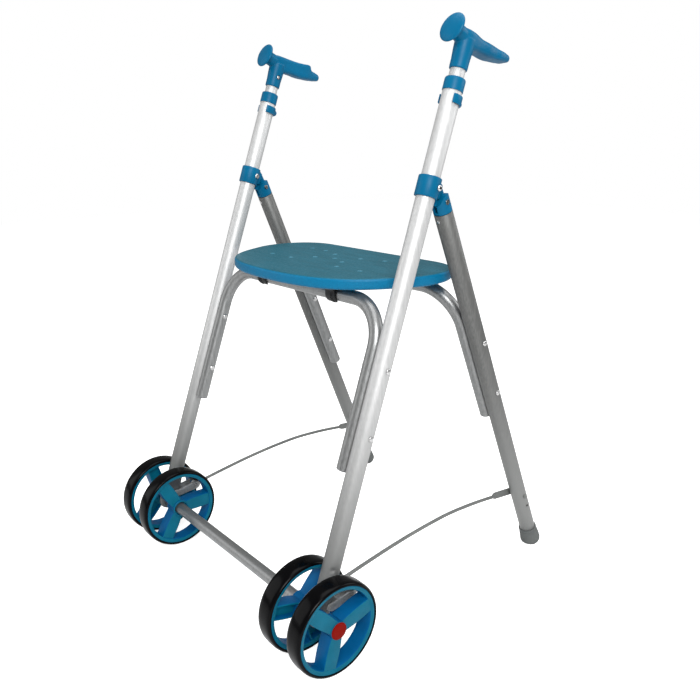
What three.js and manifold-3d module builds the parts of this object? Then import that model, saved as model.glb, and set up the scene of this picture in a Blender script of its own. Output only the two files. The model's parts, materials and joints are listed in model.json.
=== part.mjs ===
// A folding walking frame: two leaning front legs on twin wheels, two rear legs on rubber feet,
// a U-shaped hoop between each pair of legs, and a seat board that rests on both hoops.
// Millimetres, +Z up. The user walks towards -Y, so +X is the user's left.
// Drawing datum: y = 0 at the front axle, z = 0 on the floor, x = 0 half way between the legs.
import * as THREE from "three";
import { mergeVertices } from "three/addons/utils/BufferGeometryUtils.js";
import Module from "manifold-3d";

const wasm = await Module();
wasm.setup();

// ---------- driving dimensions ----------
const GAP = 0.3; // air between pieces that touch on the real frame
const SIDES = 16; // facets round a tube

const WHEEL_R = 75;
const WHEEL_WIDTH = 30;
const INNER_WHEEL_X = 199.5;
const OUTER_WHEEL_X = 270;

const LEG_R = 14;
const LEG_WALL = 1.5;
const HOOP_R = 11;
const HOOP_BEND_R = 66;
const HOOP_INSET = 25; // hoop leg centre to front or rear leg centre
const HANDLE_R = 11;
const AXLE_TUBE_R = 10.5;
const STUB_R = 5;

const FRONT_LEAN = THREE.MathUtils.degToRad(19.474);
const FRONT_SPLAY = THREE.MathUtils.degToRad(0.868); // the legs close up towards the top
const FRONT_X = 237.6; // leg centre at the axle
const LEG_TOP = 783.7; // along the front leg from the axle
const COLLAR = [628.2, 657.8];
const COLLAR_R = 17;
const BUSH = [778.1, 796.6];
const BUSH_R = 15;
const CLIP = [760.3, 773];
const FRONT_RIVETS = [276.5, 376.7];
const FRONT_HOOP = [214, 468]; // lower ends and crossbar centre

const HANDLE_TUBE = [650, 838];
const GRIP_BASE = 808.7;
const GRIP_SHELF = 838; // underside of the hand part
const GRIP_TOP = 867;
const HEIGHT_STEP = 20;
const HEIGHT_STEPS = 5;
const BUTTON = 766.6;
const BUTTON_TRAVEL = 3.5;

const PIVOT = { n: 32, s: 631.3 }; // fold pivot, behind the front leg and along it
const REAR_LEAN = THREE.MathUtils.degToRad(23.347);
const REAR_SPLAY = THREE.MathUtils.degToRad(0.57);
const REAR_TOP = { x: 228.2, y: 247.3, z: 644 }; // where the rear tube ends under its plug
const PIVOT_RISE = 16.9; // pivot above the rear tube's end
const REAR_LENGTH = 690;
const REAR_RIVETS = [-230.9, -332];
const REAR_HOOP = [-393, -139.4];
const FOOT = [-701, -661.5];
const STRAP_PIN = -575.8;

const SEAT_UNDER = 533.3;
const SEAT_THICK = 17.7;
const SEAT_HALF_WIDTH = 213;
const SEAT_BACK = 338.5;
const SEAT_FRONT = 86;
const CLIP_X = 95; // seat clips and hooks, off the middle
const CLIP_WIDTH = 23;
const FRONT_BAR = { y: 156, z: 516.2 };
const REAR_BAR = { y: 302.5, z: 516 };

const CABLE_R = 3;
const CABLE_X = 218.3;
const CABLE_HOOK = [60, 101];
const CABLE_CROWN = [262.5, 127];
const CABLE_END = [420, 120.6];
const CABLE_PIN = [475.5, 115.4];

// ---------- materials ----------
const material = (color, roughness, metalness) =>
  new THREE.MeshStandardMaterial({ color, roughness, metalness });
const ALUMINIUM = material(0xc9cbcd, 0.32, 1);
const STEEL = material(0xa8aaac, 0.25, 1);
const BLUE = material(0x0f6ea6, 0.42, 0);
const SEAT_BLUE = material(0x2a6f8c, 0.6, 0);
const BLACK_PLASTIC = material(0x1c1d1f, 0.5, 0);
const TYRE = material(0x0c0c0e, 0.22, 0);
const RED = material(0x9a2513, 0.45, 0);
const FOOT_RUBBER = material(0x727575, 0.8, 0);
const GREY_PLASTIC = material(0x7d827f, 0.55, 0);
const BRACKET = material(0x8f9294, 0.4, 1);

// ---------- solids ----------
function solid(geometry) {
  const bare = geometry.index ? geometry.toNonIndexed() : geometry.clone();
  bare.deleteAttribute("normal");
  bare.deleteAttribute("uv");
  const merged = mergeVertices(bare, 1e-4);
  const mesh = new wasm.Mesh({
    numProp: 3,
    vertProperties: merged.attributes.position.array,
    triVerts: new Uint32Array(merged.index.array),
  });
  return new wasm.Manifold(mesh);
}

function geometryOf(manifold) {
  const mesh = manifold.getMesh();
  const geometry = new THREE.BufferGeometry();
  geometry.setAttribute("position", new THREE.BufferAttribute(mesh.vertProperties, 3));
  geometry.setIndex(new THREE.BufferAttribute(mesh.triVerts, 1));
  geometry.computeVertexNormals();
  return geometry;
}

const join = (first, ...others) => others.reduce((sum, part) => sum.add(part), first);
const cut = (first, ...others) => others.reduce((rest, part) => rest.subtract(part), first);

// A round bar along Z, and one along X that passes through (y, z).
function barZ(radius, [from, to], sides = SIDES) {
  const bar = new THREE.CylinderGeometry(radius, radius, to - from, sides);
  bar.rotateX(Math.PI / 2);
  bar.translate(0, 0, (from + to) / 2);
  return solid(bar);
}

function barX(radius, [from, to], y, z, sides = 12) {
  const bar = new THREE.CylinderGeometry(radius, radius, to - from, sides);
  bar.rotateZ(-Math.PI / 2);
  bar.translate((from + to) / 2, y, z);
  return solid(bar);
}

function box([x0, x1], [y0, y1], [z0, z1]) {
  const block = new THREE.BoxGeometry(x1 - x0, y1 - y0, z1 - z0);
  block.translate((x0 + x1) / 2, (y0 + y1) / 2, (z0 + z1) / 2);
  return solid(block);
}

// A shape drawn in the (y, z) plane and extruded along X.
function sheetX(shape, [from, to], curveSegments = 12) {
  const settings = { depth: to - from, bevelEnabled: false, curveSegments };
  const plate = new THREE.ExtrudeGeometry(shape, settings);
  const axes = new THREE.Matrix4().makeBasis(
    new THREE.Vector3(0, 1, 0),
    new THREE.Vector3(0, 0, 1),
    new THREE.Vector3(1, 0, 0),
  );
  plate.applyMatrix4(axes);
  plate.translate(from, 0, 0);
  return solid(plate);
}

const outline = (points) => new THREE.Shape(points.map(([a, b]) => new THREE.Vector2(a, b)));

// A closed (offset along X, radius) profile turned round the X axis.
function turnedX(profile, sides) {
  const points = profile.map(([along, radius]) => new THREE.Vector2(radius, along));
  const closed = [...points, points[0].clone()];
  const ring = new THREE.LatheGeometry(closed, sides, Math.PI / sides);
  ring.rotateZ(-Math.PI / 2);
  return solid(ring);
}

// A round tube or rod along a curve.
function along(curve, radius, steps, sides) {
  const round = new THREE.Shape();
  round.absarc(0, 0, radius, 0, 2 * Math.PI);
  const settings = { extrudePath: curve, steps, curveSegments: sides / 2, bevelEnabled: false };
  return solid(new THREE.ExtrudeGeometry(round, settings));
}

// A pin along X with a low domed head on its +X end and a flat one on the other.
function rivet([from, to], y, z, { shank = 2.4, head = 4.4, rise = 2.2 } = {}) {
  const profile = [
    [from - 1.4, 0],
    [from - 1.4, head * 0.8],
    [from, head],
    [from, shank],
    [to, shank],
    [to, head],
    [to + rise * 0.6, head * 0.72],
    [to + rise, 0],
  ];
  const points = profile.map(([x, radius]) => new THREE.Vector2(radius, x));
  const body = new THREE.LatheGeometry(points, 8);
  body.rotateZ(-Math.PI / 2);
  body.translate(0, y, z);
  return solid(body);
}

// ---------- the scene graph ----------
const root = new THREE.Group();
root.name = "walking_frame";

const FRONT_AXES = new THREE.Matrix4()
  .makeTranslation(0, 0, WHEEL_R)
  .multiply(new THREE.Matrix4().makeRotationX(-FRONT_LEAN));
const REAR_AXES = new THREE.Matrix4()
  .makeTranslation(0, REAR_TOP.y, REAR_TOP.z)
  .multiply(new THREE.Matrix4().makeRotationX(REAR_LEAN));

function group(parent, position = [0, 0, 0], rotation = [0, 0, 0]) {
  const made = new THREE.Group();
  made.position.set(...position);
  made.rotation.set(...rotation);
  parent.add(made);
  return made;
}

function add(parent, name, part, look) {
  const mesh = new THREE.Mesh(geometryOf(part), look);
  mesh.name = name;
  parent.add(mesh);
}

// ---------- front frame ----------
// Rings of a tube whose section goes from round to the flat end that holds the axle.
const LEG_RINGS = [
  { s: -17, x: 6.5, n: 8 },
  { s: -13, x: 6.5, n: 13.5 },
  { s: -5, x: 6.5, n: 17.2 },
  { s: 26, x: 6.5, n: 18 },
  { s: 40, x: 9.5, n: 16.8 },
  { s: 56, x: LEG_R, n: LEG_R },
  { s: LEG_TOP, x: LEG_R, n: LEG_R },
];

function frontLeg() {
  const last = LEG_RINGS.length - 1;
  const tube = new THREE.CylinderGeometry(1, 1, last, SIDES, last);
  const position = tube.attributes.position;
  for (let i = 0; i < position.count; i++) {
    const ring = LEG_RINGS[Math.round(position.getY(i) + last / 2)];
    const across = position.getX(i) * ring.x;
    const deep = -position.getZ(i) * ring.n;
    position.setXYZ(i, across, deep, ring.s);
  }
  const rivetHoles = FRONT_RIVETS.map((s) => barX(2.8, [-20, 20], 0, s, 8));
  return cut(
    solid(tube),
    barZ(LEG_R - LEG_WALL, [62, LEG_TOP + 5], SIDES),
    barX(STUB_R + 0.5, [-10, 10], 0, 0),
    barX(3, [-10, 10], LEVER_PIN.n, LEVER_PIN.s, 12),
    barX(3.4, [-20, 20], 5, 644, 12),
    barN(4, [8, 18], BUTTON),
    ...rivetHoles,
  );
}

// A round bar along the direction that points behind the leg.
function barN(radius, [from, to], s, sides = 10) {
  const bar = new THREE.CylinderGeometry(radius, radius, to - from, sides);
  bar.translate(0, (from + to) / 2, s);
  return solid(bar);
}

const LEVER_PIN = { n: 10, s: 16 };

// The U of a hoop, drawn in the plane of its legs: lower ends, bends and crossbar.
function hoop([foot, bar], xAtFoot, xAtBend, holes) {
  const bend = bar - HOOP_BEND_R;
  const inside = xAtBend - HOOP_BEND_R;
  const route = new THREE.CurvePath();
  const at = (x, z) => new THREE.Vector3(x, 0, z);
  const corner = (side) =>
    new THREE.CubicBezierCurve3(
      at(side * xAtBend, bend),
      at(side * xAtBend, bend + 0.5523 * HOOP_BEND_R),
      at(side * (inside + 0.5523 * HOOP_BEND_R), bar),
      at(side * inside, bar),
    );
  const back = corner(-1);
  const backward = new THREE.CubicBezierCurve3(back.v3, back.v2, back.v1, back.v0);
  route.add(new THREE.LineCurve3(at(xAtFoot, foot), at(xAtBend, bend)));
  route.add(corner(1));
  route.add(new THREE.LineCurve3(at(inside, bar), at(-inside, bar)));
  route.add(backward);
  route.add(new THREE.LineCurve3(at(-xAtBend, bend), at(-xAtFoot, foot)));
  const rod = along(route, HOOP_R, 36, 12);
  const drilled = holes.flatMap((s) => [
    barX(3.4, [xAtBend - 20, xAtBend + 20], 0, s, 8),
    barX(3.4, [-xAtBend - 20, -xAtBend + 20], 0, s, 8),
  ]);
  return cut(rod, ...drilled);
}

function hingeCollar() {
  const tongue = new THREE.Shape();
  tongue.moveTo(12, COLLAR[1]);
  tongue.lineTo(COLLAR_R + 0.5, COLLAR[1]);
  tongue.lineTo(PIVOT.n + 8.6, PIVOT.s + 4.5);
  tongue.absarc(PIVOT.n, PIVOT.s, 9.5, 0.45, -Math.PI / 2, true);
  tongue.lineTo(COLLAR_R, PIVOT.s - 9.5);
  tongue.lineTo(12, COLLAR[0] + 2);
  const body = join(barZ(COLLAR_R, COLLAR, SIDES), sheetX(tongue, [-4.5, 4.5]));
  return cut(
    body,
    barZ(LEG_R + GAP, [COLLAR[0] - 20, COLLAR[1] + 5], SIDES),
    barX(3.4, [-20, 20], 5, 644, 12),
    barX(3.2, [-10, 10], PIVOT.n, PIVOT.s),
  );
}

function topBush() {
  const flare = new THREE.CylinderGeometry(BUSH_R - 1.6, BUSH_R, 3, SIDES);
  flare.rotateX(Math.PI / 2);
  flare.translate(0, 0, BUSH[1] - 1.5);
  const sleeve = join(barZ(BUSH_R, [BUSH[0], BUSH[1] - 3], SIDES), solid(flare));
  return cut(
    sleeve,
    barZ(HANDLE_R + GAP, [BUSH[0] - 1, BUSH[1] + 1], SIDES),
    barZ(LEG_R + GAP, [BUSH[0] - 1, LEG_TOP + GAP], SIDES),
  );
}

// An open band round the leg: its mouth faces forward and its back holds the height button.
function heightClip() {
  const band = barZ(LEG_R + 2.5, CLIP, SIDES);
  const boss = barN(6.1, [10, LEG_R + 4.5], BUTTON);
  const mouth = box([-13.4, 13.4], [-30, -4], [CLIP[0] - 1, CLIP[1] + 1]);
  return cut(
    join(band, boss),
    barZ(LEG_R + GAP, [CLIP[0] - 1, CLIP[1] + 1], SIDES),
    barN(4.7, [8, 30], BUTTON),
    mouth,
  );
}

function heightButton() {
  return join(
    barN(3.4, [HANDLE_R + 0.5, LEG_R + 1], BUTTON),
    barN(4.3, [LEG_R + BUTTON_TRAVEL + 0.5, LEG_R + 7.5], BUTTON),
    barN(3.4, [LEG_R, LEG_R + 5], BUTTON),
  );
}

function handleTube() {
  const holes = [];
  for (let step = 0; step <= HEIGHT_STEPS; step++) {
    holes.push(barN(4.2, [5, 15], BUTTON - step * HEIGHT_STEP));
  }
  const inside = [HANDLE_TUBE[0] - 5, HANDLE_TUBE[1] + 5];
  return cut(barZ(HANDLE_R, HANDLE_TUBE), barZ(HANDLE_R - LEG_WALL, inside), ...holes);
}

// Side view of the hand part: a palm rest that reaches back from the tube, with finger waves.
const PALM = [
  [-13, GRIP_SHELF - 6],
  [19, GRIP_SHELF],
  [36, GRIP_SHELF + 5],
  [56, GRIP_SHELF + 6],
  [76, GRIP_SHELF + 9],
  [91, GRIP_SHELF + 14],
  [96, GRIP_SHELF + 20],
  [93, GRIP_TOP - 2],
  [82, GRIP_TOP + 1],
  [70, GRIP_TOP - 1],
  [57, GRIP_TOP + 1.5],
  [42, GRIP_TOP - 1.5],
  [24, GRIP_TOP - 2.5],
  [8, GRIP_TOP - 2],
  [-10, GRIP_TOP - 3],
  [-16, GRIP_TOP - 12],
];

// The thumb side of the palm rest stands higher than the rest and stops short of its tip.
const THUMB_SIDE = [
  [0, GRIP_TOP - 14],
  [6, GRIP_TOP - 4],
  [36, GRIP_TOP + 2],
  [54, GRIP_TOP + 6],
  [61, GRIP_TOP + 8],
  [65, GRIP_TOP + 6],
  [67, GRIP_TOP - 2],
  [66, GRIP_TOP - 14],
];

function grip() {
  const settings = {
    depth: 15,
    bevelThickness: 6,
    bevelSize: 6,
    bevelOffset: -6,
    bevelSegments: 2,
    curveSegments: 4,
  };
  const palm = new THREE.ExtrudeGeometry(outline(PALM), settings);
  const axes = new THREE.Matrix4().makeBasis(
    new THREE.Vector3(0, 1, 0),
    new THREE.Vector3(0, 0, 1),
    new THREE.Vector3(1, 0, 0),
  );
  palm.applyMatrix4(axes);
  palm.translate(-8.5, 0, 0);
  const pommel = [
    [0, -10],
    [11.5, -10],
    [11.5, 4],
    [12.6, 9],
    [20.5, 12],
    [20.9, 14.5],
    [18.8, 17],
    [11, 18.6],
    [0, 19],
  ].map(([radius, rise]) => new THREE.Vector2(radius, rise));
  const disc = new THREE.LatheGeometry(pommel, SIDES);
  disc.rotateX(THREE.MathUtils.degToRad(173.5));
  disc.translate(0, -17.2, 853.4);
  const socket = barZ(12.8, [GRIP_BASE, GRIP_SHELF + 14], SIDES);
  const bore = barZ(HANDLE_R + GAP, [GRIP_BASE - 5, HANDLE_TUBE[1] + GAP]);
  const ridge = sheetX(outline(THUMB_SIDE), [-15.5, -7]);
  return cut(join(solid(palm), ridge, socket, solid(disc)), bore);
}

// ---------- brake ----------
const LEVER_ARM = [
  [LEVER_PIN.n - 6, LEVER_PIN.s - 4],
  [LEVER_PIN.n + 4, LEVER_PIN.s - 6],
  [54, 28],
  [57, 33],
  [56, 41],
  [50, 43],
  [LEVER_PIN.n + 2, LEVER_PIN.s + 7],
  [LEVER_PIN.n - 5, LEVER_PIN.s + 5],
];

function brakeLever() {
  const channel = sheetX(outline(LEVER_ARM), [-11, 10.4]);
  const slot = box([-8, 7.6], [-10, 21], [-20, 60]);
  const trough = box([-8, 7.6], [24, 49], [24, 60]);
  return join(cut(channel, slot, trough), barX(2.5, [-9, 9], LEVER_PIN.n, LEVER_PIN.s, 12));
}

function brakePad() {
  const side = [
    [40, 43.6],
    [50, 43.6],
    [56.6, 41.6],
    [57, 51],
    [53, 55],
    [43, 54],
  ];
  return sheetX(outline(side), [-12.5, 15]);
}

// ---------- wheels ----------
const RIM_FACE = WHEEL_WIDTH / 2 - 1;
const FACETS = 24;
const TREAD_R = WHEEL_R / Math.cos(Math.PI / FACETS);

function tyre() {
  const half = WHEEL_WIDTH / 2;
  return turnedX(
    [
      [-10.5, 66],
      [-10.5, 69.7],
      [-half, 69.7],
      [-half, 71.8],
      [-half + 2, 74],
      [-half + 6, TREAD_R],
      [half - 6, TREAD_R],
      [half - 2, 74],
      [half, 71.8],
      [half, 69.7],
      [10.5, 69.7],
      [10.5, 66],
    ],
    FACETS,
  );
}

function spoke() {
  const arm = new THREE.Shape();
  arm.moveTo(10, -10);
  arm.quadraticCurveTo(38, -14, 64, -11);
  arm.lineTo(64, 11);
  arm.quadraticCurveTo(38, 14, 10, 10);
  return sheetX(arm, [-RIM_FACE + 3, RIM_FACE - 1.5], 3);
}

function rim(bore, hubRadius) {
  const ring = turnedX(
    [
      [-RIM_FACE, 62.5],
      [-RIM_FACE, 69.3],
      [-10.8, 69.3],
      [-10.8, 65.6],
      [10.8, 65.6],
      [10.8, 69.3],
      [RIM_FACE, 69.3],
      [RIM_FACE, 62.5],
    ],
    FACETS,
  );
  const arms = [0, 1, 2].map((i) => spoke().rotate([i * 120, 0, 0]));
  const hub = barX(hubRadius, [-RIM_FACE, RIM_FACE - 1], 0, 0, SIDES);
  return cut(join(ring, hub, ...arms), barX(bore, [-20, 20], 0, 0, SIDES));
}

function hubCap() {
  return turnedX(
    [
      [RIM_FACE - 0.7, 0],
      [RIM_FACE - 0.7, 13.5],
      [RIM_FACE + 0.8, 13.2],
      [RIM_FACE + 1.6, 11],
      [RIM_FACE + 1.6, 0],
    ],
    SIDES,
  );
}

function axle() {
  const shoulder = FRONT_X - 6.5 - GAP - 0.4;
  const tip = OUTER_WHEEL_X + RIM_FACE - 3;
  return join(
    barX(AXLE_TUBE_R, [-shoulder, shoulder], 0, WHEEL_R, SIDES),
    barX(STUB_R, [-tip, tip], 0, WHEEL_R),
  );
}

// ---------- rear frame ----------
function rearLeg() {
  const rivetHoles = [...REAR_RIVETS, STRAP_PIN].map((s) => barX(3, [-20, 20], 0, s, 8));
  return cut(
    barZ(LEG_R, [-REAR_LENGTH, 0], SIDES),
    barZ(LEG_R - LEG_WALL, [-REAR_LENGTH - 5, 5], SIDES),
    ...rivetHoles,
  );
}

// The plug in the top of a rear leg: a spigot below, two cheeks round the collar's tongue above.
function hingePlug() {
  const side = outline([
    [-14, 0.9],
    [14, 0.9],
    [14, PIVOT_RISE + 3],
    [10, PIVOT_RISE + 9.5],
    [3, PIVOT_RISE + 11.5],
    [-3, PIVOT_RISE + 10],
    [-13, PIVOT_RISE - 2],
    [-14, PIVOT_RISE - 4],
  ]);
  const cheeks = barZ(LEG_R, [0.9, PIVOT_RISE + 14], SIDES).intersect(sheetX(side, [-20, 20]));
  const spigot = barZ(LEG_R - LEG_WALL - GAP, [-20, 3], SIDES);
  return cut(
    join(cheeks, spigot),
    box([-5.2, 5.2], [-20, 20], [PIVOT_RISE - 12, PIVOT_RISE + 20]),
    barX(3.2, [-20, 20], 0, PIVOT_RISE),
  );
}

function foot() {
  const profile = [
    [0, FOOT[0]],
    [10.2, FOOT[0]],
    [15, FOOT[0] + 1.8],
    [18.2, FOOT[0] + 7.5],
    [16.9, FOOT[1] - 13],
    [15.9, FOOT[1] - 5],
    [16.3, FOOT[1] - 2],
    [15.7, FOOT[1]],
    [0, FOOT[1]],
  ].map(([radius, along]) => new THREE.Vector2(radius, along));
  const bell = new THREE.LatheGeometry(profile, SIDES);
  bell.rotateX(Math.PI / 2);
  return cut(solid(bell), barZ(LEG_R + GAP, [-REAR_LENGTH - GAP, FOOT[1] + 5], SIDES));
}

// The flat grey end of the brake cable, with the pin that turns in the rear leg.
function strap(pinHead) {
  const [pinY, pinZ] = CABLE_PIN;
  const [endY, endZ] = CABLE_END;
  const shape = outline([
    [endY, endZ - CABLE_R],
    [endY + 6, endZ - 6.2],
    [pinY - 4, pinZ - 6.6],
    [pinY + 4, pinZ - 5.4],
    [pinY + 6.6, pinZ],
    [pinY + 4, pinZ + 5.4],
    [pinY - 4, pinZ + 6.6],
    [endY + 6, endZ + 6.2],
    [endY, endZ + CABLE_R],
  ]);
  const plate = sheetX(shape, [CABLE_X - 2.9, CABLE_X + 0.6]);
  const shank = barX(2.4, [CABLE_X, pinHead + 0.5], pinY, pinZ, 10);
  const head = barX(4.2, [pinHead, pinHead + 1.8], pinY, pinZ, 10);
  return join(plate, shank, head);
}

function cable(points, steps) {
  const route = points.map(([y, z]) => new THREE.Vector3(CABLE_X, y, z));
  return along(new THREE.CatmullRomCurve3(route), CABLE_R, steps, 8);
}

// ---------- seat ----------
function seatBoard() {
  const inset = 5; // the rounded edge stands this far out of the drawn outline
  const half = SEAT_HALF_WIDTH - inset;
  const back = SEAT_BACK - inset;
  const front = SEAT_FRONT + inset;
  const shape = new THREE.Shape();
  shape.moveTo(0, front);
  shape.bezierCurveTo(104, front, 158, 117, 188, 187);
  shape.bezierCurveTo(198, 210, half, 226, half, 249);
  shape.bezierCurveTo(half, 299, 182, back, 132, back);
  shape.lineTo(-132, back);
  shape.bezierCurveTo(-182, back, -half, 299, -half, 249);
  shape.bezierCurveTo(-half, 226, -198, 210, -188, 187);
  shape.bezierCurveTo(-158, 117, -104, front, 0, front);
  const settings = {
    depth: SEAT_THICK - 2 * inset,
    bevelThickness: inset,
    bevelSize: inset,
    bevelSegments: 2,
    curveSegments: 7,
  };
  const board = new THREE.ExtrudeGeometry(shape, settings);
  board.translate(0, 0, SEAT_UNDER + inset);
  return solid(board);
}

// A snap clip under the seat that turns on the front hoop's crossbar.
function seatClip() {
  const { y, z } = FRONT_BAR;
  const top = SEAT_UNDER - GAP;
  const span = [CLIP_X - CLIP_WIDTH / 2, CLIP_X + CLIP_WIDTH / 2];
  const body = join(
    barX(HOOP_R + 3.4, span, y, z, SIDES),
    box(span, [y - 18, y + 18], [z + 9, top]),
  );
  return cut(
    body,
    barX(HOOP_R + 0.4, [span[0] - 1, span[1] + 1], y, z, SIDES),
    box([span[0] - 1, span[1] + 1], [y - 7.5, y + 7.5], [z - 30, z]),
    box([span[0] - 1, span[1] + 1], [y - 40, y + 40], [top, top + 20]),
  );
}

// A hook under the seat that stands behind the rear hoop's crossbar.
function seatHook() {
  const { y, z } = REAR_BAR;
  const top = SEAT_UNDER - GAP;
  const behind = y + HOOP_R + 1.2;
  const shape = outline([
    [behind, z - 5],
    [behind + 3.5, z - 6],
    [behind + 6, z - 2],
    [behind + 7, top - 3],
    [behind + 15, top - 3],
    [behind + 15, top],
    [behind - 3, top],
    [behind, top - 4],
  ]);
  return sheetX(shape, [CLIP_X - CLIP_WIDTH / 2, CLIP_X + CLIP_WIDTH / 2]);
}

// ---------- assembly ----------
const frontPlane = group(root, [0, 0, WHEEL_R], [-FRONT_LEAN, 0, 0]);
const rearPlane = group(root, [0, REAR_TOP.y, REAR_TOP.z], [REAR_LEAN, 0, 0]);

const frontInset = (s) => FRONT_X - s * Math.tan(FRONT_SPLAY) - HOOP_INSET - GAP;
const rearInset = (s) => REAR_TOP.x - s * Math.tan(REAR_SPLAY) - HOOP_INSET - GAP;
const straight = ([foot, bar]) => [foot, bar - HOOP_BEND_R];
const frontHoopX = straight(FRONT_HOOP).map(frontInset);
const rearHoopX = straight(REAR_HOOP).map(rearInset);
add(frontPlane, "front_hoop", hoop(FRONT_HOOP, ...frontHoopX, FRONT_RIVETS), ALUMINIUM);
add(rearPlane, "rear_hoop", hoop(REAR_HOOP, ...rearHoopX, REAR_RIVETS), ALUMINIUM);
add(root, "front_axle", axle(), ALUMINIUM);
add(root, "seat_board", seatBoard(), SEAT_BLUE);

const RIVET_SPAN = [-HOOP_INSET - HOOP_R - 2 * GAP, LEG_R + GAP];

// How far each wheel is turned, in degrees: whole facets, so that rim and tyre still fit.
const WHEEL_TURN = {
  left: { outer: 15, inner: 45 },
  right: { outer: 105, inner: 0 },
};

for (const [sideName, sign] of [["left", 1], ["right", -1]]) {
  const mirror = new THREE.Vector3(sign, 1, 1);
  const named = (name) => `${name}_${sideName}`;
  const side = group(root);
  side.scale.copy(mirror);
  const frontSide = group(frontPlane);
  frontSide.scale.copy(mirror);
  const rearSide = group(rearPlane);
  rearSide.scale.copy(mirror);
  const front = group(frontSide, [FRONT_X, 0, 0], [0, -FRONT_SPLAY, 0]);
  const rear = group(rearSide, [REAR_TOP.x, 0, 0], [0, -REAR_SPLAY, 0]);

  add(front, named("front_leg"), frontLeg(), ALUMINIUM);
  add(front, named("hinge_collar"), hingeCollar(), BLUE);
  const bolt = rivet([-COLLAR_R - GAP, COLLAR_R + GAP], 5, 644, { shank: 3, head: 4.4, rise: 3 });
  add(front, named("collar_bolt"), bolt, STEEL);
  add(front, named("top_bush"), topBush(), BLUE);
  add(front, named("height_clip"), heightClip(), BLUE);
  add(front, named("height_button"), heightButton(), BLUE);
  add(front, named("handle_tube"), handleTube(), ALUMINIUM);
  add(front, named("hand_grip"), grip(), BLUE);
  add(front, named("brake_lever"), brakeLever(), BRACKET);
  add(front, named("brake_pad"), brakePad(), BLACK_PLASTIC);
  for (const [i, s] of FRONT_RIVETS.entries()) {
    add(front, named(`front_rivet_${i + 1}`), rivet(RIVET_SPAN, 0, s), STEEL);
  }

  add(rear, named("rear_leg"), rearLeg(), ALUMINIUM);
  add(rear, named("hinge_plug"), hingePlug(), BLUE);
  const screw = { shank: 2.9, head: 3.7, rise: 0.9 };
  add(rear, named("pivot_bolt"), rivet([-LEG_R - GAP, LEG_R + GAP], 0, PIVOT_RISE, screw), STEEL);
  for (const [i, s] of REAR_RIVETS.entries()) {
    add(rear, named(`rear_rivet_${i + 1}`), rivet(RIVET_SPAN, 0, s), STEEL);
  }

  // The foot is cut level with the floor.
  const footFrame = new THREE.Matrix4()
    .copy(REAR_AXES)
    .multiply(new THREE.Matrix4().makeTranslation(REAR_TOP.x, 0, 0))
    .multiply(new THREE.Matrix4().makeRotationY(-REAR_SPLAY));
  const standing = foot().transform(footFrame.elements);
  const ground = box([0, 400], [300, 700], [-100, 0]);
  add(side, named("rubber_foot"), standing.subtract(ground), FOOT_RUBBER);

  const wheels = [["inner", INNER_WHEEL_X], ["outer", OUTER_WHEEL_X]];
  for (const [place, x] of wheels) {
    const hub = group(side, [x, 0, WHEEL_R]);
    add(hub, named(`tyre_${place}`), tyre(), TYRE);
    const turned = group(hub, [0, 0, 0], [THREE.MathUtils.degToRad(WHEEL_TURN[sideName][place]), 0, 0]);
    const wheel = place === "inner" ? rim(AXLE_TUBE_R + GAP, 16) : rim(STUB_R + GAP, 13.5);
    add(turned, named(`rim_${place}`), wheel, BLUE);
    if (place === "outer") {
      add(hub, named("hub_cap"), hubCap(), RED);
    }
  }

  const pinHead = REAR_TOP.x - STRAP_PIN * Math.tan(REAR_SPLAY) + LEG_R + GAP;
  add(side, named("brake_strap"), strap(pinHead), GREY_PLASTIC);
  const frontHalf = [CABLE_HOOK, [115, 110], [165, 117.4], [215, 123.2], [CABLE_CROWN[0] - 0.5, 127]];
  const rearHalf = [[CABLE_CROWN[0] + 0.5, 127], [300, 128.6], [345, 127.2], [385, 124.3], CABLE_END];
  rearHalf[rearHalf.length - 1] = [CABLE_END[0] - 0.4, CABLE_END[1]];
  add(side, named("brake_cable_front"), cable(frontHalf, 14), GREY_PLASTIC);
  add(side, named("brake_cable_rear"), cable(rearHalf, 12), GREY_PLASTIC);
  add(side, named("seat_clip"), seatClip(), BLACK_PLASTIC);
  add(side, named("seat_hook"), seatHook(), BLACK_PLASTIC);
}

// The part's origin is under the middle of its box, on the floor.
root.updateMatrixWorld(true);
const size = new THREE.Box3().setFromObject(root, true);
root.position.y = -(size.min.y + size.max.y) / 2;

export default root;
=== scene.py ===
"""A folding walking frame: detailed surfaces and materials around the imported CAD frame.

Shapes are drawn in millimetres in the same local axes as the CAD model:
- a front leg's axes are x outward, n behind the leg and s along it from the axle;
- a rear leg's axes are x outward, n behind the leg and s along it, 0 at the tube's top end;
- wheels, seat and cables use the walker's own axes, with y = 0 at the axle and z = 0 on the floor.
Everything is drawn for the left side (+X) and mirrored for the right.
"""

import json
import math

import bmesh
import bpy
import numpy as np
from mathutils import Matrix, Vector


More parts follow.
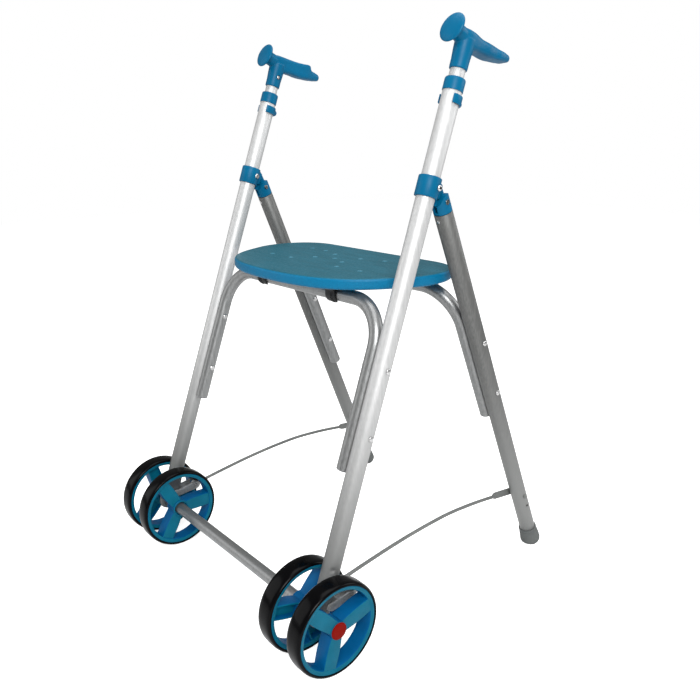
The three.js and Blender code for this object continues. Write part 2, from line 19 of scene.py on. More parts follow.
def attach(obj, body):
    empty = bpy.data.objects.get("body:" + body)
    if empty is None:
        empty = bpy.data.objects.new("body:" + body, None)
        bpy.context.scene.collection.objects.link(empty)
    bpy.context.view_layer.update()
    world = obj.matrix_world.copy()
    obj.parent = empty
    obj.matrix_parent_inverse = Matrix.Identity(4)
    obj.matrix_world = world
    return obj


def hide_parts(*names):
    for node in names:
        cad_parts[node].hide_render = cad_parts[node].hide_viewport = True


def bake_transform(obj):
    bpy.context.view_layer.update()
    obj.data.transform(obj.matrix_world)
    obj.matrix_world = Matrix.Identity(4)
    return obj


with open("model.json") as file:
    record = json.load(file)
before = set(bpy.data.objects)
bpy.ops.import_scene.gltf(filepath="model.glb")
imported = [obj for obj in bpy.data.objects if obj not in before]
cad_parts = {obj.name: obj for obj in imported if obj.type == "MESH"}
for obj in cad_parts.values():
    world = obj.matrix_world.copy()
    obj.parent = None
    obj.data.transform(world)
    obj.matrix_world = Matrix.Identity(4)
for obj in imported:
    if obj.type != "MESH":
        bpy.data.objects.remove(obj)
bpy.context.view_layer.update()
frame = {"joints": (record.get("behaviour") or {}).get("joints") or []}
joints = {j["name"]: j for j in frame["joints"]}
AXLE = Vector(joints["wheel_inner_spin_left"]["pos_m"])
FOLD = Vector(joints["frame_fold"]["pos_m"])
SIDES = (("left", 1), ("right", -1))

# ---------- camera ----------
CAMERA_AT = (0.96664, AXLE.y - 0.56842, 0.75810)
AZIMUTH, ELEVATION, ROLL = (math.radians(a) for a in (51.742, 17.785, -0.772))


def link(thing):
    bpy.context.scene.collection.objects.link(thing)


def add_camera():
    level = math.cos(ELEVATION)
    back = Vector((math.sin(AZIMUTH) * level, -math.cos(AZIMUTH) * level, math.sin(ELEVATION)))
    right = Vector((math.cos(AZIMUTH), math.sin(AZIMUTH), 0))
    up = back.cross(right)
    rolled_right = math.cos(ROLL) * right + math.sin(ROLL) * up
    rolled_up = -math.sin(ROLL) * right + math.cos(ROLL) * up
    turn = Matrix((rolled_right, rolled_up, back)).transposed().to_4x4()
    camera = bpy.data.objects.new("camera", bpy.data.cameras.new("camera"))
    camera.matrix_world = Matrix.Translation(CAMERA_AT) @ turn
    camera.data.sensor_width = 36
    camera.data.lens = 37.78
    camera.data.shift_x = 0.0442
    camera.data.shift_y = 0.0246
    link(camera)
    bpy.context.scene.camera = camera


add_camera()


# ---------- local axes ----------
def axes(origin, x_axis, n_axis, s_axis):
    """A matrix from local millimetres to the row frame in metres."""
    turn = Matrix((x_axis, n_axis, s_axis)).transposed().to_4x4()
    return Matrix.Translation(origin) @ turn @ Matrix.Scale(0.001, 4)


FRONT_X = 0.2376
leg_up = Vector(joints["handle_height_left"]["axis"]).normalized()
leg_out = (Vector((1, 0, 0)) - leg_up.x * leg_up).normalized()
FRONT_LEG = axes((FRONT_X, AXLE.y, AXLE.z), leg_out, leg_up.cross(leg_out), leg_up)
plane_up = Vector((0, leg_up.y, leg_up.z)).normalized()
X = Vector((1, 0, 0))
FRONT_PLANE = axes((0, AXLE.y, AXLE.z), X, plane_up.cross(X), plane_up)

REAR_LEAN = math.radians(23.347)
REAR_SPLAY = math.radians(0.57)
REAR_X = 0.2282
PIVOT_RISE = 16.9
rear_plane_up = Vector((0, -math.sin(REAR_LEAN), math.cos(REAR_LEAN)))
rear_top = FOLD - rear_plane_up * PIVOT_RISE * 0.001
rear_up = (rear_plane_up - math.tan(REAR_SPLAY) * X).normalized()
rear_out = (X - rear_up.x * rear_up).normalized()
REAR_LEG = axes((REAR_X, rear_top.y, rear_top.z), rear_out, rear_up.cross(rear_out), rear_up)
REAR_PLANE = axes((0, rear_top.y, rear_top.z), X, rear_plane_up.cross(X), rear_plane_up)
WALKER = axes((0, AXLE.y, 0), X, Vector((0, 1, 0)), Vector((0, 0, 1)))
MIRROR = Matrix.Diagonal((-1, 1, 1, 1))


# ---------- mesh building ----------
def circle(radius, sides, phase=0.0):
    a = np.linspace(0, 2 * np.pi, sides, endpoint=False) + phase
    return np.stack([radius * np.cos(a), radius * np.sin(a)], -1)


def skin(rings, closed=False, cap=True):
    """Rings of equally many points, joined in order. Returns (points, faces)."""
    count = len(rings[0])
    points = np.concatenate(rings)
    faces = []
    last = len(rings) if closed else len(rings) - 1
    for i in range(last):
        a, b = i * count, (i + 1) % len(rings) * count
        for j in range(count):
            k = (j + 1) % count
            faces.append((a + j, a + k, b + k, b + j))
    if cap and not closed:
        faces.append(tuple(reversed(range(count))))
        faces.append(tuple(range(len(points) - count, len(points))))
    return points, faces


def turned(profile, sides=64):
    """(radius, height) points turned about local Z. It closes on itself or caps its ends."""
    closed = np.allclose(profile[0], profile[-1])
    if closed:
        profile = profile[:-1]
    rings = []
    for radius, height in profile:
        ring = circle(max(radius, 0.02), sides)
        rings.append(np.column_stack([ring, np.full(sides, height)]))
    return skin(rings, closed=closed)


def bar(radius, low, high, sides):
    return turned([(radius, low), (radius, high)], sides)


def rounded(points, radius, steps=4, closed=True):
    """The outline with each corner replaced by a small curve."""
    pts = [np.array(p, float) for p in points]
    out = []
    count = len(pts)
    for i, p in enumerate(pts):
        if not closed and i in (0, count - 1):
            out.append(p)
            continue
        before, after = pts[i - 1] - p, pts[(i + 1) % count] - p
        reach = min(radius, 0.45 * np.linalg.norm(before), 0.45 * np.linalg.norm(after))
        a = p + before / np.linalg.norm(before) * reach
        b = p + after / np.linalg.norm(after) * reach
        for t in np.linspace(0, 1, steps + 1):
            out.append((1 - t) ** 2 * a + 2 * t * (1 - t) * p + t * t * b)
    return out


def turn_x(shape):
    """Turned about Z to turned about X: height becomes x."""
    points, faces = shape
    return points[:, [2, 0, 1]], faces


def about_n(shape):
    """Turned about Z to turned about n: height becomes n."""
    points, faces = shape
    return points[:, [0, 2, 1]], faces


def move(shape, x=0, y=0, z=0):
    points, faces = shape
    return points + np.array([x, y, z], float), faces


def spin_x(shape, angle):
    points, faces = shape
    c, s = math.cos(angle), math.sin(angle)
    turn = np.array([[1, 0, 0], [0, c, s], [0, -s, c]])
    return points @ turn, faces


def unit(vectors):
    return vectors / np.linalg.norm(vectors, axis=1)[:, None]


def plate(outline, low, high, round_edge=0.0, steps=3):
    """An (n, s) outline extruded along x from low to high, with rounded rims."""
    base = np.array(outline, float)
    area = np.sum(base[:, 0] * np.roll(base[:, 1], -1) - np.roll(base[:, 0], -1) * base[:, 1])
    if area < 0:
        base = base[::-1]
    tangent = unit(np.roll(base, -1, 0) - np.roll(base, 1, 0))
    inward = np.stack([-tangent[:, 1], tangent[:, 0]], -1)
    rings = []
    levels = [(low, round_edge)]
    if round_edge:
        for t in np.linspace(0, math.pi / 2, steps + 1)[1:]:
            rise = low + round_edge * (1 - math.cos(t))
            levels.append((rise, round_edge * (1 - math.sin(t))))
    levels += [(low + high - x, inset) for x, inset in reversed(levels)]
    for x, inset in levels:
        flat = base + inward * inset
        rings.append(np.column_stack([np.full(len(flat), x), flat]))
    return skin(rings)


def joined(*shapes):
    points, faces, start = [], [], 0
    for p, f in shapes:
        points.append(p)
        faces += [tuple(i + start for i in face) for face in f]
        start += len(p)
    return np.concatenate(points), faces


def outward(mesh):
    bm = bmesh.new()
    bm.from_mesh(mesh)
    bmesh.ops.recalc_face_normals(bm, faces=bm.faces)
    bm.to_mesh(mesh)
    bm.free()


def temporary(shape):
    mesh = bpy.data.meshes.new("shape")
    mesh.from_pydata(shape[0].tolist(), [], shape[1])
    outward(mesh)
    made = bpy.data.objects.new("shape", mesh)
    link(made)
    return made


def taken(made):
    """The evaluated mesh of a temporary object as (points, faces); the object is removed."""
    graph = bpy.context.evaluated_depsgraph_get()
    mesh = bpy.data.meshes.new_from_object(made.evaluated_get(graph))
    points = np.array([v.co for v in mesh.vertices])
    faces = [tuple(p.vertices) for p in mesh.polygons]
    bpy.data.meshes.remove(mesh)
    bpy.data.objects.remove(made)
    return points, faces


def combine(first, *others, operation="UNION"):
    for other in others:
        made, tool = temporary(first), temporary(other)
        step = made.modifiers.new("combine", "BOOLEAN")
        step.operation = operation
        step.solver = "MANIFOLD"
        step.object = tool
        result = taken(made)
        bpy.data.objects.remove(tool)
        if not len(result[1]):
            raise ValueError(f"{operation} left nothing")
        first = result
    return first


def cut(first, *others):
    return combine(first, *others, operation="DIFFERENCE")


def melted(shape, voxel, rounds=4, factor=0.5):
    """One moulded body: the shapes fused on a fine grid, then eased so that inner corners fill."""
    made = temporary(shape)
    fuse = made.modifiers.new("fuse", "REMESH")
    fuse.mode = "VOXEL"
    fuse.voxel_size = voxel
    ease = made.modifiers.new("ease", "SMOOTH")
    ease.factor = factor
    ease.iterations = rounds
    return taken(made)


def piece(name, shape, matrix, look, body, replaces=(), bevel=0.0, sharp=40):
    mesh = bpy.data.meshes.new(name)
    mesh.from_pydata(shape[0].tolist(), [], shape[1])
    mesh.transform(matrix)
    mesh.validate()
    outward(mesh)
    mesh.materials.append(look)
    mesh.polygons.foreach_set("use_smooth", [True] * len(mesh.polygons))
    mesh.set_sharp_from_angle(angle=math.radians(sharp))
    made = bpy.data.objects.new(name, mesh)
    link(made)
    if bevel:
        edges = made.modifiers.new("edges", "BEVEL")
        edges.width = bevel * 0.001
        edges.segments = 3
        edges.limit_method = "ANGLE"
        edges.angle_limit = math.radians(35)
        edges.harden_normals = True
    if body:
        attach(made, body)
    if replaces:
        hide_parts(*replaces)
    return made


def on_side(matrix, sign):
    return matrix if sign > 0 else MIRROR @ matrix


def both(name, shape, matrix, look, body, nodes=(), **options):
    """The left piece and its mirror image. A body or node name ending in _ gets its side."""
    for side, sign in SIDES:
        on = body + side if body.endswith("_") else body
        stands_for = [n + side if n.endswith("_") else n for n in nodes]
        piece(f"{name}_{side}", shape, on_side(matrix, sign), look, on, stands_for, **options)


# ---------- materials ----------
def srgb(r, g, b):
    def linear(c):
        c /= 255
        return c / 12.92 if c <= 0.04045 else ((c + 0.055) / 1.055) ** 2.4

    return (linear(r), linear(g), linear(b), 1)


class Look:
    """A principled material built up with a few procedural layers."""

    def __init__(self, name, roughness, metallic=0.0, specular=0.5):
        self.material = bpy.data.materials.new(name)
        self.material.use_nodes = True
        self.tree = self.material.node_tree
        self.shader = self.tree.nodes["Principled BSDF"]
        self.shader.inputs["Roughness"].default_value = roughness
        self.shader.inputs["Metallic"].default_value = metallic
        self.shader.inputs["Specular IOR Level"].default_value = specular
        self.bumps = []
        self.coordinates = self.tree.nodes.new("ShaderNodeTexCoord").outputs["Object"]

    def noise(self, scale, detail=3.0, stretch=(1, 1, 1), turn=(0, 0, 0)):
        mapping = self.tree.nodes.new("ShaderNodeMapping")
        mapping.inputs["Scale"].default_value = stretch
        mapping.inputs["Rotation"].default_value = turn
        self.tree.links.new(self.coordinates, mapping.inputs["Vector"])
        noise = self.tree.nodes.new("ShaderNodeTexNoise")
        noise.inputs["Scale"].default_value = scale
        noise.inputs["Detail"].default_value = detail
        self.tree.links.new(mapping.outputs["Vector"], noise.inputs["Vector"])
        return noise.outputs["Fac"]

    def ramp(self, source, low, high, start=0.3, end=0.7):
        ramp = self.tree.nodes.new("ShaderNodeValToRGB")
        ramp.color_ramp.elements[0].position = start
        ramp.color_ramp.elements[0].color = low
        ramp.color_ramp.elements[1].position = end
        ramp.color_ramp.elements[1].color = high
        self.tree.links.new(source, ramp.inputs["Fac"])
        return ramp.outputs["Color"]

    def mixed(self, share, first, second):
        mix = self.tree.nodes.new("ShaderNodeMix")
        mix.data_type = "RGBA"
        self.tree.links.new(share, mix.inputs["Factor"])
        for socket, value in (("A", first), ("B", second)):
            if isinstance(value, tuple):
                mix.inputs[socket].default_value = value
            else:
                self.tree.links.new(value, mix.inputs[socket])
        return mix.outputs["Result"]

    def mask(self, source, axis, start, stop, smooth=False):
        """0 below start and 1 above stop along one axis of a vector source."""
        split = self.tree.nodes.new("ShaderNodeSeparateXYZ")
        self.tree.links.new(source, split.inputs[0])
        size = self.tree.nodes.new("ShaderNodeMath")
        size.operation = "ABSOLUTE"
        self.tree.links.new(split.outputs[axis], size.inputs[0])
        share = self.tree.nodes.new("ShaderNodeMapRange")
        share.interpolation_type = "SMOOTHSTEP" if smooth else "LINEAR"
        share.inputs["From Min"].default_value = start
        share.inputs["From Max"].default_value = stop
        self.tree.links.new(size.outputs[0], share.inputs["Value"])
        return share.outputs["Result"]

    def base(self, colour):
        self.tree.links.new(colour, self.shader.inputs["Base Color"])

    def colour(self, low, high, scale, **options):
        self.base(self.ramp(self.noise(scale, **options), low, high))

    def roughness(self, low, high, scale, **options):
        grey = [(value, value, value, 1) for value in (low, high)]
        mixed = self.ramp(self.noise(scale, **options), *grey)
        self.tree.links.new(mixed, self.shader.inputs["Roughness"])

    def bump(self, scale, strength, distance, **options):
        bump = self.tree.nodes.new("ShaderNodeBump")
        bump.inputs["Strength"].default_value = strength
        bump.inputs["Distance"].default_value = distance
        self.tree.links.new(self.noise(scale, **options), bump.inputs["Height"])
        if self.bumps:
            self.tree.links.new(self.bumps[-1].outputs["Normal"], bump.inputs["Normal"])
        self.bumps.append(bump)
        self.tree.links.new(bump.outputs["Normal"], self.shader.inputs["Normal"])


# Heights in metres over which the painted shading towards the floor fades out: full below the first, none
# above the second.
PAINTED_LOW_SHADING_UP_TO = (0.10, 0.46)


def aluminium(name, low, high, lean, roughness, metallic=0.6, painted_low_shading=None):
    """Anodised tube: fine drawing lines along the tube, faint cloudy handling marks.

    With a low shading colour the tube blends into that tone towards the floor: painted shade that darkens
    the lower front legs, painted light that lightens the lower rear legs.
    """
    along = dict(stretch=(14, 14, 0.35), turn=(lean, 0, 0))
    look = Look(name, roughness[0], metallic=metallic, specular=0.3)
    clean = look.ramp(look.noise(30, detail=4, **along), low, high)
    if painted_low_shading:
        clean = look.mixed(look.mask(look.coordinates, "Z", *PAINTED_LOW_SHADING_UP_TO, smooth=True), painted_low_shading, clean)
    look.base(clean)
    look.roughness(*roughness, 60, detail=5, **along)
    look.bump(120, 0.05, 0.0002, detail=4, **along)
    return look.material


def moulded(name, low, high, roughness, grain, strength, specular=0.25):
    """Injection-moulded plastic: slight cloudiness, fine spark-eroded grain."""
    look = Look(name, roughness[0], specular=specular)
    look.colour(low, high, 14, detail=5)
    look.roughness(*roughness, 120, detail=4)
    look.bump(grain, strength, 0.0003, detail=2)
    return look.material


SEAT_TOP_BEGINS = (0.5490, 0.5504)


def seat_plastic():
    """Matt teal on top and brighter blue round the edge, the two colours meeting at a set height."""
    look = Look("seat_plastic", 0.5, specular=0.16)
    top = look.ramp(look.noise(60, detail=6, stretch=(0.3, 1, 1)), srgb(20, 78, 92), srgb(28, 87, 103))
    edge = look.ramp(look.noise(500, detail=3), srgb(0, 93, 130), srgb(0, 104, 143))
    look.base(look.mixed(look.mask(look.coordinates, "Z", *SEAT_TOP_BEGINS), edge, top))
    look.roughness(0.38, 0.55, 300, detail=4)
    look.bump(1100, 0.25, 0.0003, detail=2)
    return look.material


def rim_plastic():
    """Teal faces and deeper blue on the walls of the spokes and the ring, split by the way each surface
    faces.
    """
    look = Look("rim_blue", 0.45, specular=0.1)
    face = look.ramp(look.noise(40, detail=5), srgb(0, 84, 106), srgb(3, 93, 117))
    wall = look.ramp(look.noise(30, detail=4), srgb(0, 76, 122), srgb(0, 86, 136))
    normal = look.tree.nodes.new("ShaderNodeTexCoord").outputs["Normal"]
    look.base(look.mixed(look.mask(normal, "X", 0.5, 0.8), wall, face))
    look.roughness(0.38, 0.5, 120, detail=4)
    look.bump(1800, 0.12, 0.0003, detail=2)
    return look.material


FRONT_TILT = math.atan2(leg_up.y, leg_up.z)
# Lit copy of the tube aluminium: its lighter tone is painted light, and its darker colour towards the floor
# is painted shade.
LIT_ALUMINIUM = aluminium("bright_aluminium", srgb(182, 183, 183), srgb(196, 196, 196), FRONT_TILT, (0.48, 0.56),
                   0.56, painted_low_shading=srgb(116, 117, 116))
# Shaded copy of the same aluminium: its darker tone is painted shade, and its lighter colour towards the
# floor is painted light.
SHADED_ALUMINIUM = aluminium("satin_aluminium", srgb(94, 95, 94), srgb(110, 110, 109), -REAR_LEAN, (0.46, 0.55),
                  painted_low_shading=srgb(130, 131, 130))
CROSS = aluminium("cross_aluminium", srgb(128, 129, 129), srgb(148, 149, 149), 0, (0.36, 0.44), 0.85)
BLUE = moulded("blue_plastic", srgb(0, 82, 116), srgb(0, 91, 128), (0.34, 0.44), 2200, 0.1, 0.12)
RIM_BLUE = rim_plastic()
SEAT_TOP = seat_plastic()
STUD = moulded("stud_plastic", srgb(50, 106, 124), srgb(62, 118, 138), (0.3, 0.4), 1300, 0.1)
BLACK = moulded("black_plastic", srgb(18, 19, 20), srgb(27, 28, 29), (0.4, 0.5), 1500, 0.15)
TYRE = moulded("tyre_rubber", srgb(3, 3, 4), srgb(7, 7, 8), (0.15, 0.2), 900, 0.03, 0.07)
RED = moulded("red_plastic", srgb(106, 7, 0), srgb(118, 10, 1), (0.5, 0.6), 1600, 0.12, 0.05)
FOOT_GREY = moulded("foot_rubber", srgb(80, 83, 83), srgb(94, 97, 96), (0.7, 0.85), 1200, 0.35)
CABLE_GREY = moulded("cable_grey", srgb(92, 94, 93), srgb(108, 110, 108), (0.5, 0.65), 1600, 0.2)
PAD_RUBBER = moulded("brake_rubber", srgb(24, 24, 25), srgb(32, 32, 33), (0.75, 0.9), 1400, 0.4)


def metal(name, low, high, roughness, metallic):
    """Fasteners and pressings: fine tumbled grain with small changes of tone."""
    look = Look(name, roughness[0], metallic=metallic)
    look.colour(low, high, 300, detail=3)
    look.roughness(*roughness, 400, detail=3)
    look.bump(700, 0.1, 0.0002)
    return look.material


STEEL = metal("steel_fasteners", srgb(176, 176, 176), srgb(206, 206, 206), (0.2, 0.32), 1.0)
DARK_STEEL = metal("dark_fasteners", srgb(96, 96, 95), srgb(124, 124, 122), (0.24, 0.36), 1.0)
BRACKET = metal("bracket_metal", srgb(150, 151, 151), srgb(176, 177, 177), (0.38, 0.52), 0.6)

# ---------- front legs ----------
LEG_R = 14.0
WALL = 1.5
LEG_TOP = 783.7
LEVER_PIN = (10.0, 16.0)
COLLAR = (628.2, 657.8)
COLLAR_BOLT = (5.0, 644.0)
BUTTON = 766.6
FRONT_RIVETS = (276.5, 376.7)


def superellipse(x_radius, n_radius, flatness, sides):
    """A ring that goes from an ellipse (flatness 2) to a rounded slab (higher)."""
    a = np.linspace(0, 2 * np.pi, sides, endpoint=False)
    c, s = np.cos(a), np.sin(a)
    x = np.sign(c) * np.abs(c) ** (2 / flatness) * x_radius
    n = np.sign(s) * np.abs(s) ** (2 / flatness) * n_radius
    return np.column_stack([x, n])


def front_leg():
    """A round tube pressed flat at its lower end, with two dimples above the flat."""
    sides = 72
    stations = [
        (-17.0, 4.6, 5.5, 2.2), (-16.4, 5.8, 8.6, 2.3), (-15.0, 6.3, 11.4, 2.5), (-12.5, 6.5, 13.8, 2.7),
        (-9.0, 6.5, 15.7, 2.9), (-5.0, 6.5, 17.0, 3.0), (4.0, 6.5, 17.6, 3.0), (14.0, 6.5, 17.9, 3.0),
        (26.0, 6.6, 17.9, 2.9), (32.0, 7.4, 17.6, 2.7), (38.0, 8.9, 17.0, 2.5), (44.0, 10.7, 16.1, 2.3),
        (50.0, 12.5, 15.0, 2.1), (56.0, 13.7, 14.2, 2.0), (60.0, LEG_R, LEG_R, 2.0),
    ]
    rings = []
    for s, x, n, flatness in stations:
        flat = superellipse(x, n, flatness, sides)
        rings.append(np.column_stack([flat, np.full(sides, s)]))
    for s in np.concatenate([np.arange(61.5, 92, 1.5), [160, 300, 450, 600, LEG_TOP - 0.5]]):
        rings.append(np.column_stack([circle(LEG_R, sides), np.full(sides, s)]))
    for radius, s in ((LEG_R - 0.4, LEG_TOP), (LEG_R - 1.4, LEG_TOP), (LEG_R - WALL, LEG_TOP - 0.4)):
        rings.append(np.column_stack([circle(radius, sides), np.full(sides, s)]))
    rings.append(np.column_stack([circle(LEG_R - WALL, sides), np.full(sides, 610.0)]))
    points, faces = skin(rings)
    for s in (62.0, 76.0):
        centre = np.array([LEG_R * 0.86, -LEG_R * 0.5, s])
        near = np.exp(-np.sum((points - centre) ** 2, 1) / (2 * 2.3**2))
        near *= points[:, 0] > 0
        points = points - near[:, None] * 1.5 * centre / LEG_R * np.array([1, 1, 0])
    holes = [
        move(turn_x(bar(5.5, -10, 10, 32))),
        move(turn_x(bar(3.0, -10, 10, 24)), y=LEVER_PIN[0], z=LEVER_PIN[1]),
    ]
    return cut((points, faces), *holes)


both("leg", front_leg(), FRONT_LEG, LIT_ALUMINIUM, "front_frame", ["front_leg_"], sharp=50)


def dome(radius, rise, seat=0.0, edge=0.5, steps=10):
    """(radius, height) points of a domed head that stands on height 0."""
    profile = [(0, -seat), (radius, -seat), (radius, edge)]
    for t in np.linspace(0, math.pi / 2, steps + 1)[1:]:
        profile.append((radius * math.cos(t), edge + (rise - edge) * math.sin(t)))
    return profile


def pin(low, high, radius, head, rise, tail=1.4):
    """A pin along x with a domed head on the outside and a rolled end inside."""
    outer = move(turn_x(turned(dome(head, rise, 0.2), 40)), x=high)
    inner = move(turn_x(turned([(head, 0), (head, -0.6), (head * 0.8, -tail)], 40)), x=low)
    shank = turn_x(bar(radius, low - 0.3, high + 0.3, 24))
    return combine(shank, outer, inner)


def rivet_piece(name, plane, body, n, s, low, high, radius=2.4, head=4.4, rise=2.2):
    shape = move(pin(low, high, radius, head, rise), y=n, z=s)
    both(name, shape, plane, STEEL, body, [name + "_"])


HOOP_INSET = 25.0
HOOP_R = 11.0
GAP = 0.3
RIVET_LOW = -HOOP_INSET - HOOP_R - 2 * GAP
RIVET_HIGH = LEG_R + GAP
for i, s in enumerate(FRONT_RIVETS):
    rivet_piece(f"front_rivet_{i + 1}", FRONT_LEG, "front_frame", 0, s, RIVET_LOW, RIVET_HIGH)


def collar_bolt():
    """A domed bolt with a hexagonal socket."""
    bolt = pin(-17.3, 17.3, 3.0, 4.4, 3.0)
    return cut(bolt, turn_x(bar(2.3, 18.8, 22, 6)))


# A thin black disc at the bottom of the bolt's hexagonal socket, painted shade for the dark inside of the
# socket.
SOCKET_SHADE_DISC = turn_x(turned([(0, 18.7), (2.2, 18.7), (2.2, 18.95), (0, 18.95)], 24))
for label, shape, look, nodes in (("collar_bolt", collar_bolt(), STEEL, ["collar_bolt_"]),
                                  ("collar_bolt_socket_shade", SOCKET_SHADE_DISC, BLACK, [])):
    both(label, move(shape, y=COLLAR_BOLT[0], z=COLLAR_BOLT[1]), FRONT_LEG, look, "front_frame", nodes)

# ---------- hoops and axle ----------
HOOP_BEND_R = 66.0
PLUG_LENGTH = 3.6
FRONT_SPLAY = math.radians(0.868)
FRONT_HOOP = (214.0, 468.0)
REAR_HOOP = (-393.0, -139.4)
REAR_RIVETS = (-230.9, -332.0)


def inset_at(x_origin_mm, splay, s):
    return x_origin_mm - s * math.tan(splay) - HOOP_INSET - GAP


def hoop_route(foot, bar, x_origin, splay):
    bend = bar - HOOP_BEND_R
    at_foot = inset_at(x_origin, splay, foot)
    at_bend = inset_at(x_origin, splay, bend)
    half = [np.array([at_foot + (at_bend - at_foot) * t, 0, foot + (bend - foot) * t])
            for t in np.concatenate([[0, 0.002, 0.01, 0.02], np.linspace(0.05, 1, 20)])]
    centre = np.array([at_bend - HOOP_BEND_R, 0, bend])
    for a in np.linspace(0, math.pi / 2, 22)[1:]:
        half.append(centre + HOOP_BEND_R * np.array([math.cos(a), 0, math.sin(a)]))
    run = at_bend - HOOP_BEND_R
    middle = [np.array([run * t, 0, bar]) for t in np.linspace(1, -1, 17)[1:-1]]
    return half + middle + [p * np.array([-1, 1, 1]) for p in reversed(half)]


def hoop(foot, bar, x_origin, splay):
    """A bent tube whose two lower ends are closed by shallow rounded plugs."""
    route = np.array(hoop_route(foot, bar, x_origin, splay))
    tangents = unit(np.gradient(route, axis=0))
    n = np.array([0.0, 1.0, 0.0])
    ring = circle(1.0, 48)
    count = len(route)
    closing = [(0.0, 0.0), (0.5, 0.45), (1.0, 0.7), (2.0, 0.9), (3.4, 1.0)]
    rings = []
    sides = unit(np.cross(tangents, n))
    for i, side in enumerate(sides):
        if i == 0 or i == count - 1:
            steps = closing if i == 0 else closing[::-1]
            inward = tangents[i] if i == 0 else -tangents[i]
            for along, share in steps:
                r = max(HOOP_R * share, 0.4)
                centre = route[i] + inward * along
                rings.append(centre + r * (ring[:, :1] * side + ring[:, 1:] * n))
            continue
        reach = min(np.linalg.norm(route[i] - route[0]), np.linalg.norm(route[i] - route[-1]))
        if reach < PLUG_LENGTH:
            continue
        rings.append(route[i] + HOOP_R * (ring[:, :1] * side + ring[:, 1:] * n))
    return skin(rings)


hoop_front = piece("hoop_front", hoop(*FRONT_HOOP, FRONT_X * 1000, FRONT_SPLAY), FRONT_PLANE, CROSS,
                   "front_frame", ["front_hoop"])
piece("hoop_rear", hoop(*REAR_HOOP, REAR_X * 1000, REAR_SPLAY), REAR_PLANE, CROSS,
      "rear_frame", ["rear_hoop"])


def front_axle():
    """The cross tube with a shoulder at each leg, and the thin stubs the outer wheels turn on."""
    half = [
        (5.0, 281.0), (5.0, 231.0), (10.1, 230.6), (10.5, 230.2), (10.5, 181.0), (10.5, 120.0),
    ]
    outline = [(4.6, 281.3), (3.6, 281.3)][::-1] + half + [(r, -x) for r, x in reversed(half)]
    outline += [(4.6, -281.3), (3.6, -281.3)]
    return turn_x(turned(outline, 48))


piece("axle_bar", move(front_axle(), z=AXLE.z * 1000), WALKER, CROSS, "front_frame", ["front_axle"])

# ---------- hinge ----------
PIVOT = (32.0, 631.3)
COLLAR_R = 17.0


def band(outer, inner, low, high, soft=1.2, sides=72):
    """A ring about the leg with softened outer edges."""
    rim_low = [(outer - soft, low), (outer - soft * 0.3, low + soft * 0.3), (outer, low + soft)]
    rim_high = [(r, low + high - s) for r, s in reversed(rim_low)]
    outline = [(inner, low)] + rim_low + rim_high + [(inner, high), (inner, low)]
    return turned(outline, sides)


def disc_arc(n, s, radius, start, stop, steps=24):
    angles = np.linspace(start, stop, steps)
    return [(n + radius * math.cos(a), s + radius * math.sin(a)) for a in angles]


def hinge_collar():
    tongue = [(13.0, COLLAR[1] - 1.2), (COLLAR_R + 1.5, COLLAR[1] - 1.0)]
    tongue += disc_arc(*PIVOT, 9.4, 0.75, -math.pi / 2)
    tongue += [(COLLAR_R, PIVOT[1] - 9.4), (13.0, COLLAR[0] + 2)]
    arm = plate(rounded(tongue, 1.5, 2), -3.0, 3.0, 0.6)
    webs = plate(rounded([(13, COLLAR[0] + 3), (13, COLLAR[1] - 2.5), (22.5, COLLAR[1] - 5),
                          (22, COLLAR[0] + 4)], 3), -7.5, 7.5, 2.2)
    body = combine(band(COLLAR_R, LEG_R - 2, *COLLAR), arm, webs)
    bore = bar(LEG_R + GAP, 600, 700, 72)
    eye = move(turn_x(bar(3.2, -12, 12, 32)), y=PIVOT[0], z=PIVOT[1])
    return cut(body, bore, eye)


both("collar", hinge_collar(), FRONT_LEG, BLUE, "front_frame", ["hinge_collar_"], bevel=0.3)


def hinge_plug():
    """Two cheeks whose tops slant up towards the back, on a round shoulder that caps the leg."""
    rise = PIVOT_RISE
    side = [(-14, 0.9), (14, 0.9), (14, rise + 3), (10, rise + 9.5), (3, rise + 11.5),
            (-3, rise + 10), (-13, rise - 2), (-14, rise - 4)]
    keep = plate(rounded(side, 2.6, 4), -20, 20)
    round_bar = bar(LEG_R, 0, rise + 14, 72)
    cheeks = combine(round_bar, keep, operation="INTERSECT")
    slot = plate(rounded([(-20, rise - 12), (20, rise - 12), (20, rise + 20), (-20, rise + 20)], 0.1, 1),
                 -3.6, 3.6)
    eye = move(turn_x(bar(3.2, -20, 20, 32)), z=rise)
    body = cut(cheeks, slot, eye)
    spigot = bar(LEG_R - 1.9, -20, 3, 64)
    return combine(body, spigot)


both("plug", hinge_plug(), REAR_LEG, BLUE, "rear_frame", ["hinge_plug_"], bevel=0.5)


def pivot_bolt():
    """A bolt with a small recessed head in the outer cheek."""
    head = turned([(0, -0.2), (3.7, -0.2), (3.7, 0.5), (3.4, 0.85), (2.2, 0.9), (1.7, 0.1), (0, 0.1)], 40)
    inner = move(turn_x(turned([(3.7, 0), (3.7, -0.9), (3.0, -1.4)], 40)), x=-LEG_R - GAP)
    shank = turn_x(bar(2.9, -LEG_R - 0.5, LEG_R + 0.5, 24))
    return combine(shank, move(turn_x(head), x=LEG_R + GAP), inner)


both("pivot", move(pivot_bolt(), z=PIVOT_RISE), REAR_LEG, DARK_STEEL, "rear_frame", ["pivot_bolt_"])

# ---------- height adjustment ----------
BUSH = (778.1, 796.6)
BUSH_R = 15.0
CLIP = (760.3, 773.0)
HANDLE_R = 11.0
HOLE_PITCH = 20.0
HANDLE_TUBE = (650.0, 838.0)


